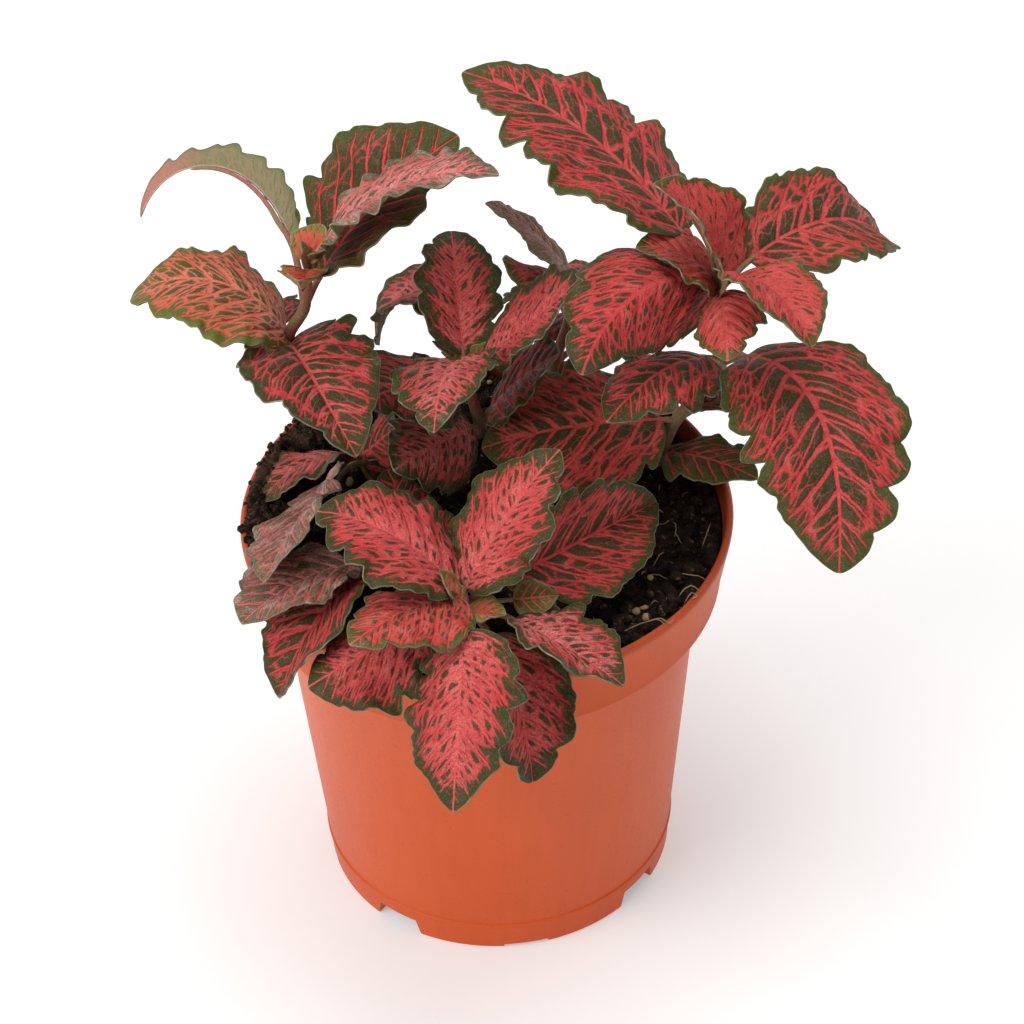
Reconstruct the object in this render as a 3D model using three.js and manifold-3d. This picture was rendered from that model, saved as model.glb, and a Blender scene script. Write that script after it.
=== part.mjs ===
import * as THREE from 'three';
import { mergeVertices } from 'three/addons/utils/BufferGeometryUtils.js';
import Module from 'manifold-3d';

const wasm = await Module();
wasm.setup();

// Lengths are millimetres and angles degrees. The pot stands on z = 0 with its axis on z.
// The front of the plant is towards -y and its right side towards +x.

// Pot
const potHeight = 109;
const rimRadius = 60;
const bandFootRadius = 56.8;
const bandHeight = 20;
const bodyTopRadius = 51.6;
const bodyFootRadius = 44;
const footRadius = 43.4;
const footHeight = 8.4;
const potWall = 1.5;
const floorThickness = 2.2;
const potSides = 40;

// Notches at the foot: four tall ones with a roofed channel and four shallow ones between them
const notchTurn = 7.5;
const tallNotch = { width: 14, topWidth: 11, height: 5, depth: 9 };
const shallowNotch = { width: 12, topWidth: 11, height: 1.2, depth: 2 };
const drainRadius = 2.5;

// Soil
const soilHeight = 104;
const soilSides = 20;
const fitGap = 0.3;

// Stems stand this deep in the soil
const rootDepth = 12;
const stemRadius = 2;
const stemTopRadius = 1.4;

// Leaves
const bladeThickness = 0.8;
const widestAt = 0.42;
const scallopDepth = 0.09;
const ruffleHeight = 0.08;

// Each leaf row holds, in this order: the letter of the node it grows from; its heading and its
// rise where it leaves the node; its fall, the slope at its tip; its sweep, the sideways turn from
// base to tip; the length of its stalk; the length and the full width of its blade; the roll of
// the blade about its midrib and the twist from its base to its tip; the fold of its two halves
// up from the midrib; and the bend of each half on the way to the margin, down when negative.
// Headings turn from +x, the right, towards +y, the back.
const shoots = [
  {
    name: 'shoot_left',
    foot: [-36, 34],
    nodes: { a: [-46.4, 26, 143], b: [-41.8, 24, 154.8], c: [-40.5, 22, 164], d: [-40, 21, 170] },
    leaves: [
      // long folded leaf that arches over to the back left
      ['b', 95, 71, -72, 83, 17, 62, 14, -88, 1, 76, 6],
      // broad upright leaf at the back, and the narrow one that twists across it
      ['b', 22, 66, 12, 9, 10, 48, 42, 4, -26, 22, -11],
      ['c', -7, 76, 6, -21, 10, 60, 28, 7, 5, 11, -14],
      // pair low on the stem, one to the left and one to the front
      ['a', 175, 83, -52, -7, 2, 48, 38, -5, 10, 7, -33],
      ['a', -78, 33, -26, 15, 2, 50, 34, -1, 19, 26, -20],
      // young leaves at the tip
      ['d', -98, -20, 72, 0, 1, 15, 15, 0, 0, 40, -12],
      ['d', 62, 62, 20, 0, 1, 10, 12, 10, 0, 30, -10],
      ['d', -120, 66, 88, 0, 1, 9, 5, -10, 0, 50, -5],
      // leaf at the back
      ['a', 118, 8, -72, 0, 6, 32, 26, 0, 5, 10, -25],
    ],
  },
  {
    name: 'shoot_middle',
    foot: [-1, 32],
    nodes: { a: [-0.8, 24, 116], b: [-3, 21, 130], c: [-4, 19, 139] },
    leaves: [
      // four leaves around the tip
      ['c', 93, 59, -14, 1, 3, 37, 22, -9, 9, 18, -20],
      ['c', 80, 43, -88, 110, 11, 45, 28, 0, 5, 20, -21],
      ['c', -106, 53, -12, 12, 8, 41, 26, -13, 2, 19, -29],
      ['c', -19, 44, 53, 2, 7, 39, 28, -10, -7, 13, -12],
      // leaves lower down
      ['a', -119, 30, 16, -2, 4, 41, 26, 41, -4, -2, -41],
      ['a', -29, 66, 42, -6, 7, 33, 24, -22, -3, 9, -25],
      ['b', -143, 43, 11, 15, 6, 35, 28, 21, 1, 3, -28],
      // two small bracts at the tip
      ['c', 158, 33, 40, 0, 1, 9, 5, 0, 0, 40, -10],
      ['c', 15, 38, 45, 0, 1, 8, 5, 0, 0, 40, -10],
    ],
  },
  {
    name: 'shoot_right',
    foot: [41, 20],
    nodes: {
      a: [43, 17, 111], b: [47, 17, 121], d: [58, 13, 142], e: [57.5, 12, 156], f: [57, 11, 166],
    },
    leaves: [
      // broad leaf that faces the front left, and the one below it
      ['e', -150, 85, -59, 21, 7, 55, 38, 36, 2, -12, -60],
      ['d', -134, 51, -30, -2, 8, 37, 28, -5, 4, 0, -39],
      // largest leaf, towards the back, with two smaller ones before it
      ['f', 130, 46, -5, 17, 16, 70, 44, -14, 20, 9, -23],
      ['f', 154, 96, 26, 11, 1, 34, 26, -4, -9, 30, -3],
      ['f', 171, 78, -11, 9, 2, 24, 24, -8, -9, 12, -24],
      // leaves to the right and the front right
      ['f', 27, 44, -73, 16, 10, 54, 30, -19, 6, 13, -11],
      ['f', -50, 64, -39, -16, 9, 35, 24, 14, -7, 23, -19],
      ['f', -88, 42, -29, -3, 5, 27, 20, -18, 8, -7, -41],
      // long leaf that sweeps down over the front right
      ['d', -40, 48, -85, -60, 10, 71, 43, 1, -5, 8, -30],
      // small leaves low on the stem
      ['b', 40, 4, -51, 7, 7, 24, 18, 3, -1, 14, -25],
      ['a', -36, 27, -9, 0, 1, 28, 22, 7, -5, 8, -23],
      // leaf that reaches left over the soil
      ['b', -159, 24, -27, -27, 4, 46, 40, 17, 14, 3, -23],
      // bract between the upper leaves
      ['d', 165, 70, 74, 0, 1, 13, 6, 0, 10, 30, -10],
      // leaves at the back
      ['d', 58, -16, -84, 0, 5, 34, 26, 0, -5, 10, -25],
      ['b', 88, 26, -60, 0, 5, 34, 26, 0, 5, 10, -25],
    ],
  },
  {
    name: 'shoot_front',
    foot: [-4, -30],
    nodes: { a: [-5, -36, 112], b: [-6, -43, 119], c: [-6, -46, 124], d: [-6, -50, 123] },
    leaves: [
      // rosette around the tip
      ['c', 155, 58, -22, -5, 2, 41, 34, -6, 28, 16, -36],
      ['c', 37, 63, 17, 6, 2, 40, 30, 8, -3, 9, -23],
      ['b', 27, 10, -11, 17, 11, 47, 32, -51, 13, 35, -5],
      ['c', -140, 34, -15, -2, 1, 34, 30, -7, -5, 1, -34],
      // leaves that hang over the front of the rim
      ['b', -141, 9, -34, -29, 12, 31, 34, 2, 8, -4, -29],
      ['c', -91, 13, -54, -7, 14, 44, 32, -29, 4, 6, -33],
      ['b', -58, 6, -84, -19, 12, 38, 28, 22, -21, 30, -12],
      ['b', -38, 16, -25, 4, 15, 31, 28, 20, -10, 18, -8],
      // leaf behind the rosette
      ['a', 124, 25, 0, -16, 7, 37, 24, -13, -2, 4, -35],
      // small twisted leaf seen from below
      ['b', -8, 8, 14, 0, 12, 11, 11, -50, -20, 34, -10],
      // young leaves at the tip
      ['d', 165, 62, 70, 0, 1, 12, 8, 0, 0, 28, -20],
      ['d', -22, 16, 6, 0, 1, 10, 9, 0, 0, 20, -15],
    ],
  },
  {
    name: 'shoot_rear',
    foot: [17, 47],
    nodes: { a: [18, 48, 114], b: [22, 44, 132], c: [22.5, 41, 148] },
    leaves: [
      // two small leaves at the tip
      ['c', -154, 22, 44, -8, 3, 18, 14, 13, 7, -9, -48],
      ['c', 174, 69, 29, 7, 1, 30, 14, -4, -2, 8, -32],
      // leaves towards the back
      ['b', 62, 18, -70, 0, 6, 36, 26, 0, 5, 12, -25],
      ['b', 106, 2, -66, 0, 6, 32, 24, 0, -5, 12, -25],
      ['a', 100, 14, -70, 0, 8, 34, 26, 0, 5, 8, -25],
      ['a', 44, 14, -74, 0, 8, 32, 26, 0, -5, 8, -25],
    ],
  },
  {
    name: 'shoot_low_left',
    foot: [-27, 16],
    nodes: { a: [-31, 19, 111], b: [-34, 12, 114] },
    leaves: [
      ['a', -157, 44, -52, 11, 3, 27, 26, -29, 19, 7, -14],
      ['b', -113, 26, -9, 4, 10, 43, 28, -42, 22, 19, -25],
      ['b', -77, 37, 52, -10, 2, 18, 15, -25, -3, -3, -38],
      ['a', -16, 53, 46, 1, 1, 15, 22, -25, 1, -1, -38],
    ],
  },
  {
    name: 'shoot_front_left',
    foot: [-24, -20],
    nodes: { a: [-28, -22, 113] },
    leaves: [
      ['a', -122, 23, -66, -12, 7, 37, 32, -23, -8, 23, -10],
      ['a', -159, 22, -22, 22, 5, 32, 34, -18, 9, 19, -27],
    ],
  },
];

const rad = (degrees) => degrees * Math.PI / 180;
const vec = (x, y, z) => new THREE.Vector3(x, y, z);

// Solid for joining and cutting from a closed geometry, its shared points merged
function solid(geometry) {
  const bare = geometry.clone();
  bare.deleteAttribute('normal');
  bare.deleteAttribute('uv');
  const merged = mergeVertices(bare, 1e-4);
  const index = merged.index.array;
  const triangles = [];
  for (let i = 0; i < index.length; i += 3) {
    const [a, b, c] = index.slice(i, i + 3);
    if (a !== b && b !== c && c !== a) {
      triangles.push(a, b, c);
    }
  }
  return new wasm.Manifold(new wasm.Mesh({
    numProp: 3,
    vertProperties: new Float32Array(merged.attributes.position.array),
    triVerts: new Uint32Array(triangles),
  }));
}

// Closed geometry from points and triangles that face outwards
function surface(points, triangles) {
  const geometry = new THREE.BufferGeometry().setFromPoints(points);
  geometry.setIndex(triangles);
  return geometry;
}

// Solid of revolution about z, its profile running from the axis outwards and back to the axis
function turned(profile, sides, lift = () => 0) {
  const points = profile.map(([r, z]) => new THREE.Vector2(r, z));
  const geometry = new THREE.LatheGeometry(points, sides, Math.PI / 2).rotateX(Math.PI / 2);
  const { position } = geometry.attributes;
  for (let i = 0; i < position.count; i++) {
    const x = position.getX(i);
    const y = position.getY(i);
    position.setZ(i, position.getZ(i) + lift(x, y, position.getZ(i)));
  }
  return solid(geometry);
}

// Upright round peg from a given height upwards
function peg(x, y, base, radius, height, sides) {
  const geometry = new THREE.CylinderGeometry(radius, radius, height, sides).rotateX(Math.PI / 2);
  return solid(geometry.translate(x, y, base + height / 2));
}

// Block with a trapezoid section that runs outwards from the axis at a given turn from the front
function spoke(turn, width, topWidth, base, height, inner, outer) {
  const section = new THREE.Shape([
    new THREE.Vector2(-width / 2, base),
    new THREE.Vector2(width / 2, base),
    new THREE.Vector2(topWidth / 2, height),
    new THREE.Vector2(-topWidth / 2, height),
  ]);
  const geometry = new THREE.ExtrudeGeometry(section, { depth: outer - inner, bevelEnabled: false });
  geometry.translate(0, 0, inner).rotateX(Math.PI / 2).rotateZ(rad(turn));
  return solid(geometry);
}

const bandFoot = potHeight - bandHeight;
const potProfile = [
  [0, 0],
  [footRadius, 0],
  [bodyFootRadius, footHeight],
  [bodyTopRadius, bandFoot],
  [bandFootRadius, bandFoot],
  [rimRadius, potHeight - 1.6],
  [rimRadius - 0.8, potHeight],
  [rimRadius - 1.6, potHeight],
  [rimRadius - 2.1, potHeight - 3],
  [bandFootRadius - potWall, bandFoot + potWall],
  [bodyTopRadius - potWall, bandFoot + potWall],
  [footRadius - potWall, floorThickness],
  [0, floorThickness],
];

const tallTurns = [45, 135, 225, 315].map((turn) => turn + notchTurn);
const shallowTurns = [0, 90, 180, 270].map((turn) => turn + notchTurn);
const channelInner = footRadius - tallNotch.depth;

// Outside of the channel over a tall notch, grown by a margin on every side
function channel(turn, grow) {
  return spoke(
    turn,
    tallNotch.width + 2 * (potWall + grow),
    tallNotch.topWidth + 2 * (potWall + grow),
    0,
    tallNotch.height + potWall + grow,
    channelInner - potWall - grow,
    footRadius - 1.4 + 2 * grow,
  );
}

let pot = turned(potProfile, potSides);
for (const turn of tallTurns) {
  const { width, topWidth, height } = tallNotch;
  pot = pot.add(channel(turn, 0));
  pot = pot.subtract(spoke(turn, width, topWidth, -1, height, channelInner, rimRadius));
  const r = channelInner + 4;
  const x = r * Math.sin(rad(turn));
  const y = -r * Math.cos(rad(turn));
  pot = pot.subtract(peg(x, y, 3, drainRadius, 6, 12));
}
for (const turn of shallowTurns) {
  const { width, topWidth, height, depth } = shallowNotch;
  pot = pot.subtract(spoke(turn, width, topWidth, -1, height, footRadius - depth, rimRadius));
}

// Soil with a lumpy top
const soilProfile = [
  [0, floorThickness + fitGap],
  [footRadius - potWall - fitGap, floorThickness + fitGap],
  [bodyTopRadius - potWall - fitGap, bandFoot + potWall + fitGap],
  [bandFootRadius - potWall - fitGap, bandFoot + potWall + fitGap],
  [bandFootRadius - potWall + 1.3, soilHeight - 1],
  [51, soilHeight],
  [43, soilHeight - 0.6],
  [34, soilHeight + 0.3],
  [25, soilHeight],
  [16, soilHeight + 0.4],
  [8, soilHeight],
  [0, soilHeight + 0.3],
];
const lump = (x, y, z) => {
  if (z < soilHeight - 2) {
    return 0;
  }
  const wave = Math.sin(0.29 * x + 1.3) * Math.cos(0.23 * y) + 0.6 * Math.sin(0.41 * y - 0.2 * x);
  return 0.8 * wave;
};
let soil = turned(soilProfile, soilSides, lump);
for (const turn of tallTurns) {
  soil = soil.subtract(channel(turn, fitGap));
}
for (const { foot } of shoots) {
  const base = soilHeight - rootDepth - fitGap;
  soil = soil.subtract(peg(foot[0], foot[1], base, stemRadius + 0.6, rootDepth + 12, 8));
}

// Round stem or stalk along a line of points, with a radius at each
function stalk(line, radii, sides) {
  const points = [];
  const triangles = [];
  let side = vec(0.3, 0.9, 0.2);
  line.forEach((p, i) => {
    const ahead = line[Math.min(i + 1, line.length - 1)];
    const behind = line[Math.max(i - 1, 0)];
    const along = ahead.clone().sub(behind).normalize();
    side = side.clone().addScaledVector(along, -side.dot(along)).normalize();
    const across = along.clone().cross(side);
    for (let k = 0; k < sides; k++) {
      const a = 2 * Math.PI * k / sides;
      const rim = p.clone().addScaledVector(side, radii[i] * Math.cos(a));
      points.push(rim.addScaledVector(across, radii[i] * Math.sin(a)));
    }
  });
  const end = points.length;
  points.push(line[0].clone(), line[line.length - 1].clone());
  for (let k = 0; k < sides; k++) {
    const next = (k + 1) % sides;
    triangles.push(end, next, k, end + 1, end - sides + k, end - sides + next);
    for (let row = 0; row < end - sides; row += sides) {
      triangles.push(row + k, row + next, row + sides + next);
      triangles.push(row + k, row + sides + next, row + sides + k);
    }
  }
  return solid(surface(points, triangles));
}

// Half width of a blade as a part of its widest, from base to tip
function outline(u) {
  if (u < widestAt) {
    return Math.sqrt(1 - ((widestAt - u) / widestAt) ** 2) ** 1.05;
  }
  const past = (u - widestAt) / (1 - widestAt);
  return 0.72 * (1 - past ** 1.9) + 0.28 * Math.sqrt(Math.max(0, 1 - past * past));
}

// Midrib of a leaf from its node: a curve whose slope and heading change evenly along it
function midrib(root, heading, rise, fall, sweep, length) {
  const steps = 24;
  const line = [root.clone()];
  const direction = (s) => {
    const psi = rad(heading + sweep * s);
    const eps = rad(rise + (fall - rise) * s);
    return {
      along: vec(Math.cos(psi) * Math.cos(eps), Math.sin(psi) * Math.cos(eps), Math.sin(eps)),
      right: vec(Math.sin(psi), -Math.cos(psi), 0),
    };
  };
  for (let i = 0; i < steps; i++) {
    const step = direction((i + 0.5) / steps).along.multiplyScalar(length / steps);
    line.push(line[i].clone().add(step));
  }
  return (s) => {
    const i = Math.min(Math.floor(s * steps), steps - 1);
    const spot = line[i].clone().lerp(line[i + 1], s * steps - i);
    return { spot, ...direction(s) };
  };
}

function lobeCount(long) {
  if (long >= 60) {
    return 7;
  }
  if (long >= 40) {
    return 6;
  }
  return long >= 20 ? 5 : 3;
}

// Leaf with a stalk, a scalloped margin whose lobes lift and drop in turn, and a folded blade
function leaf(root, [, heading, rise, fall, sweep, stem, long, wide, roll, twist, fold, bend]) {
  const total = stem + long;
  const curve = midrib(root, heading, rise, fall, sweep, total);
  const half = wide / 2;
  const a0 = rad(fold);
  const b = rad(bend);
  const lobes = lobeCount(long);
  const rows = 2 * lobes;
  const columns = long >= 40 ? [-1, -0.5, 0, 0.5, 1] : [-1, 0, 1];
  const last = columns.length - 1;
  const upper = [];
  const lower = [];
  for (let i = 0; i <= rows; i++) {
    const u = i / rows;
    const { spot, along, right } = curve((stem + long * u) / total);
    const up = right.clone().cross(along);
    const turn = rad(roll + twist * (u - 0.5));
    const side = right.clone().multiplyScalar(Math.cos(turn)).addScaledVector(up, Math.sin(turn));
    const face = up.clone().multiplyScalar(Math.cos(turn)).addScaledVector(right, -Math.sin(turn));
    const notch = i % 2 === 0 ? scallopDepth * Math.min(1, 5 * u, 5 * (1 - u)) : 0;
    const width = half * Math.max(outline(u) - notch, 0);
    const spots = i === 0 || i === rows ? [0] : columns;
    for (const v of spots) {
      const sign = v < 0 ? -1 : 1;
      const theta = a0 + b * Math.abs(v) * width / half;
      const lateral = sign * half * (Math.sin(theta) - Math.sin(a0)) / b;
      const height = half * (Math.cos(a0) - Math.cos(theta)) / b;
      const wave = sign * half * ruffleHeight * v * v * outline(u) * Math.sin(Math.PI * lobes * u);
      const p = spot.clone().addScaledVector(side, lateral).addScaledVector(face, height + wave);
      const lean = v === 0 ? 0 : theta;
      const grow = v === 0 ? 1 / Math.max(Math.cos(a0), 0.7) : 1;
      const normal = face.clone().multiplyScalar(Math.cos(lean))
        .addScaledVector(side, -sign * Math.sin(lean)).multiplyScalar(grow * bladeThickness / 2);
      upper.push(p.clone().add(normal));
      lower.push(p.clone().sub(normal));
    }
  }
  const count = upper.length;
  const at = (i, j) => {
    if (i === 0) {
      return 0;
    }
    return i === rows ? count - 1 : 1 + (i - 1) * columns.length + j;
  };
  const triangles = [];
  const both = (p, q, r) => {
    if (p !== q && q !== r && r !== p) {
      triangles.push(p, q, r, count + p, count + r, count + q);
    }
  };
  const edge = (p, q) => {
    triangles.push(p, count + p, count + q, p, count + q, q);
  };
  for (let i = 0; i < rows; i++) {
    for (let j = 0; j < last; j++) {
      both(at(i, j), at(i, j + 1), at(i + 1, j + 1));
      both(at(i, j), at(i + 1, j + 1), at(i + 1, j));
    }
    edge(at(i + 1, 0), at(i, 0));
    edge(at(i, last), at(i + 1, last));
  }
  const blade = solid(surface([...upper, ...lower], triangles));
  const thick = long >= 20 ? 1.1 : 0.8;
  const reach = stem + Math.min(0.12 * long, 3);
  const pieces = reach > 8 ? 3 : 2;
  const line = [];
  const radii = [];
  for (let k = 0; k <= pieces; k++) {
    const s = reach * k / pieces;
    line.push(curve(s / total).spot);
    radii.push(thick * (1 - 0.45 * s / reach));
  }
  return blade.add(stalk(line, radii, 4));
}

function shoot({ foot, nodes, leaves }) {
  const spots = Object.values(nodes).map((p) => vec(...p));
  const line = [vec(foot[0], foot[1], soilHeight - rootDepth), vec(foot[0], foot[1], soilHeight + 2)];
  const curve = new THREE.CatmullRomCurve3([line[1], ...spots], false, 'centripetal');
  const pieces = spots.length * 2;
  line.push(...curve.getPoints(pieces).slice(1));
  const radii = line.map((_, i) => stemRadius - (stemRadius - stemTopRadius) * i / (line.length - 1));
  let body = stalk(line, radii, 6);
  for (const row of leaves) {
    body = body.add(leaf(vec(...nodes[row[0]]), row));
  }
  return body;
}

function mesh(name, body, look) {
  const { vertProperties, triVerts } = body.getMesh();
  const geometry = new THREE.BufferGeometry();
  geometry.setAttribute('position', new THREE.BufferAttribute(vertProperties, 3));
  geometry.setIndex(new THREE.BufferAttribute(triVerts, 1));
  geometry.computeVertexNormals();
  const result = new THREE.Mesh(geometry, new THREE.MeshStandardMaterial(look));
  result.name = name;
  return result;
}

const group = new THREE.Group();
group.name = 'potted_nerve_plant';
group.add(mesh('pot', pot, { color: '#c8694a', roughness: 0.45, metalness: 0 }));
group.add(mesh('soil', soil, { color: '#2b1d17', roughness: 0.95, metalness: 0 }));
for (const entry of shoots) {
  group.add(mesh(entry.name, shoot(entry), { color: '#9c3a41', roughness: 0.55, metalness: 0 }));
}

export default group;
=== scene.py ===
# %% [markdown]
# # A potted nerve plant
#
# The object is a low foliage plant in a moulded nursery pot. Its solids come in as a fixed frame:
# the pot, the soil and seven leafy stems. This script gives each of them a finer surface and a
# procedural material, all in the frame's own metres, with the pot's flat bottom on the floor.

# %% Load the frame
import math
import random
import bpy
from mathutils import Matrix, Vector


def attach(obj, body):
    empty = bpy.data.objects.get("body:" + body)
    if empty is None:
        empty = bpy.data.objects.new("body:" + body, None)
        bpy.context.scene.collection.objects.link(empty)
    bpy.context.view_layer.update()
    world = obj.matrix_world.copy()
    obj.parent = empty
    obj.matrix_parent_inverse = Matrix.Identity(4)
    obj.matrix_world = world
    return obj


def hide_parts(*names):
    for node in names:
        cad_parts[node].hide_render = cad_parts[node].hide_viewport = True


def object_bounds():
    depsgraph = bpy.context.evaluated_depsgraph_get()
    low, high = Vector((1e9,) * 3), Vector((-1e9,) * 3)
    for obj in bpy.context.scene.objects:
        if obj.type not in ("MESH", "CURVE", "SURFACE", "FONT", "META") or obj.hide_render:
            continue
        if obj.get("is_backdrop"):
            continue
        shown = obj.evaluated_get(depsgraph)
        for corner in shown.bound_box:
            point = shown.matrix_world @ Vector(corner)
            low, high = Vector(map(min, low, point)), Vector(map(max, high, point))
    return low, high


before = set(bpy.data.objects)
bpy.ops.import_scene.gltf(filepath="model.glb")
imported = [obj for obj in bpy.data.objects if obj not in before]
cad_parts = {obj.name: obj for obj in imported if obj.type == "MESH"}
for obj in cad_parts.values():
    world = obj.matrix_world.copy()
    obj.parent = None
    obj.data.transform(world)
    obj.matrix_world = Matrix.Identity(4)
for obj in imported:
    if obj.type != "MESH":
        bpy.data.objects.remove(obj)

from types import SimpleNamespace

import bmesh
import bpy
import numpy as np
from mathutils import Matrix, Vector, noise

CAD_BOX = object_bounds()
MM = 0.001
print("frame:", sorted(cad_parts), "box", [tuple(round(c, 4) for c in p) for p in CAD_BOX])

# %% [markdown]
# ## The camera
#
# The plant is seen from the front and well above, through a long lens, so the pot's sides hardly
# converge. The camera comes first, because every later choice of detail depends on how large a
# millimetre is in the picture: here it is about four pixels.

# %% Make the camera
CAMERA_PLACE = (6.18 * MM, -811.96 * MM, 840.41 * MM)
CAMERA_TILT = 42.04
CAMERA_ROLL = -2.19
FOCAL_LENGTH = 158.2


def put(name, data):
    """A new object in the scene, at the origin, for a mesh, a light or a camera."""
    thing = bpy.data.objects.new(name, data)
    bpy.context.scene.collection.objects.link(thing)
    return thing


camera_data = bpy.data.cameras.new("camera")
camera_data.lens = FOCAL_LENGTH
camera_data.sensor_width = 36
camera_data.clip_start = 0.05
camera = put("camera", camera_data)
camera.location = CAMERA_PLACE
turn = Matrix.Rotation(math.radians(90 - CAMERA_TILT), 4, "X")
camera.rotation_euler = (turn @ Matrix.Rotation(math.radians(CAMERA_ROLL), 4, "Z")).to_euler()
bpy.context.scene.camera = camera
print("camera at", tuple(camera.location))

# %% [markdown]
# ## Soft studio light on a white floor
#
# The plant stands on a white sweep under large soft lights, so shadows are faint and short. A big
# area light above the front left gives the pot its bright side, a second one hangs overhead, and a
# white world lifts everything else. The Standard view keeps the floor white and the reds rich.

# %% Make the floor and the lights
WARM_WHITE = (1, 0.985, 0.96)
WORLD_STRENGTH = 0.52


def put_mesh(name, bm):
    """The same for a finished bmesh."""
    mesh = bpy.data.meshes.new(name)
    bm.to_mesh(mesh)
    bm.free()
    return put(name, mesh)


sheet = bmesh.new()
bmesh.ops.create_grid(sheet, x_segments=1, y_segments=1, size=3)
floor = put_mesh("floor", sheet)
floor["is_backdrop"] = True


def area_light(name, place, aim, width, power, tint=(1, 1, 1)):
    """A square soft box at a place, turned to face a point."""
    data = bpy.data.lights.new(name, "AREA")
    data.size = width
    data.energy = power
    data.color = tint
    light = put(name, data)
    light.location = place
    towards = Vector(aim) - Vector(place)
    light.rotation_euler = towards.to_track_quat("-Z", "Y").to_euler()


area_light("key", (-1.2, -0.75, 1.15), aim=(0, 0, 0.08), width=1.3, power=19, tint=WARM_WHITE)
area_light("top", (0.15, 0.25, 1.6), aim=(0, 0, 0.1), width=1.1, power=13)
world = bpy.data.worlds.new("studio")
bpy.context.scene.world = world
world.use_nodes = True
world.node_tree.nodes["Background"].inputs["Color"].default_value = (1, 1, 1, 1)
world.node_tree.nodes["Background"].inputs["Strength"].default_value = WORLD_STRENGTH
bpy.context.scene.view_settings.view_transform = "Standard"

# %% [markdown]
# ## Shader maths as plain sums
#
# A material is a small calculation for every point of a surface. Written as nodes it is hard to
# read, so a socket is wrapped in a class that knows Python's own operators: each one adds a Math
# node. Any other node is made by one method that takes its type, settings and inputs.

# %% The wrapper for shader sockets


class Wire:
    """A node's output that takes part in sums: every operator adds a Math node to its tree."""

    def __init__(self, finish, socket):
        self.finish = finish
        self.socket = socket

    def maths(self, operation, *others):
        return self.finish.node("ShaderNodeMath", {"operation": operation}, self, *others)

    def __add__(self, other):
        return self.maths("ADD", other)

    def __sub__(self, other):
        return self.maths("SUBTRACT", other)

    def __mul__(self, other):
        return self.maths("MULTIPLY", other)

    def __truediv__(self, other):
        return self.maths("DIVIDE", other)

    def __rsub__(self, other):
        return self.finish.node("ShaderNodeMath", {"operation": "SUBTRACT"}, other, self)

    __radd__ = __add__
    __rmul__ = __mul__

    def __gt__(self, other):
        return self.maths("GREATER_THAN", other)

    def __abs__(self):
        return self.maths("ABSOLUTE")

    def floor(self):
        return self.maths("FLOOR")

    def atleast(self, other):
        return self.maths("MAXIMUM", other)

    def atmost(self, other):
        return self.maths("MINIMUM", other)

    def step(self, low, high):
        """0 below low and 1 above high, with a smooth rise between them; high may be the lower."""
        settings = {"interpolation_type": "SMOOTHSTEP"}
        return self.finish.node("ShaderNodeMapRange", settings, self, low, high, 0.0, 1.0)

    def parts(self):
        """The three numbers of a vector."""
        node = self.finish.add("ShaderNodeSeparateXYZ", {}, self)
        return [Wire(self.finish, out) for out in node.outputs]


class Finish:
    """One material under construction: its tree, its shader and a method that adds any node."""

    def __init__(self, name, **constants):
        self.material = bpy.data.materials.new(name)
        self.material.use_nodes = True
        self.tree = self.material.node_tree
        self.shader = self.tree.nodes["Principled BSDF"]
        for socket, value in constants.items():
            self.shader.inputs[socket.replace("_", " ")].default_value = value

    def add(self, kind, settings, *inputs, **named):
        """Any node: its type, its settings, then values or links for its sockets."""
        node = self.tree.nodes.new(kind)
        for key, value in settings.items():
            if key == "stops":
                for stop, (place, colour) in zip(node.color_ramp.elements, value):
                    stop.position = place
                    stop.color = colour
            else:
                setattr(node, key, value)
        usable = [socket for socket in node.inputs if socket.enabled]
        pairs = list(zip(usable, inputs)) + [(node.inputs[k], v) for k, v in named.items()]
        for socket, value in pairs:
            self.feed(socket, value)
        return node

    def feed(self, socket, value):
        if isinstance(value, Wire):
            self.tree.links.new(value.socket, socket)
        elif value is not None:
            if socket.type == "RGBA" and len(value) == 3:
                value = (*value, 1)
            socket.default_value = value

    def node(self, kind, settings, *inputs, out=None, **named):
        """The same, as a wire from its first live output or from the one that out names."""
        node = self.add(kind, settings, *inputs, **named)
        live = [socket for socket in node.outputs if socket.enabled]
        return Wire(self, node.outputs[out] if out else live[0])

    def attribute(self, name):
        return self.node("ShaderNodeAttribute", {"attribute_name": name}, out="Vector")

    def point(self):
        """Object coordinates in millimetres."""
        place = self.node("ShaderNodeTexCoord", {}, out="Object")
        return self.node("ShaderNodeVectorMath", {"operation": "SCALE"}, place, Scale=1000.0)

    def vector(self, x, y, z):
        return self.node("ShaderNodeCombineXYZ", {}, x, y, z)

    def noise(self, where, scale, detail=2.0, roughness=0.5):
        return self.node(
            "ShaderNodeTexNoise", {}, where, None, Scale=scale, Detail=detail, Roughness=roughness
        )

    def blend(self, amount, first, second):
        """One colour turned into another by an amount from 0 to 1."""
        settings = {"data_type": "RGBA", "clamp_factor": True}
        return self.node("ShaderNodeMix", settings, amount, first, second)

    def coats(self, colour, *coats):
        """A colour with coats laid over it one by one, each an amount and a colour."""
        for amount, coat in coats:
            colour = self.blend(amount, colour, coat)
        return colour

    def bump(self, height, depth, strength=1.0):
        return self.node("ShaderNodeBump", {}, Strength=strength, Distance=depth, Height=height)

    def wear(self, **looks):
        """Feeds the shader's own sockets and gives the material back."""
        for socket, value in looks.items():
            self.feed(self.shader.inputs[socket.replace("_", " ")], value)
        return self.material


print("shader helpers ready")

# %% [markdown]
# The floor is a matt white sheet that is faintly lit from below, as on a light table, so it stays
# white right up to a short soft shadow under the pot.

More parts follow.
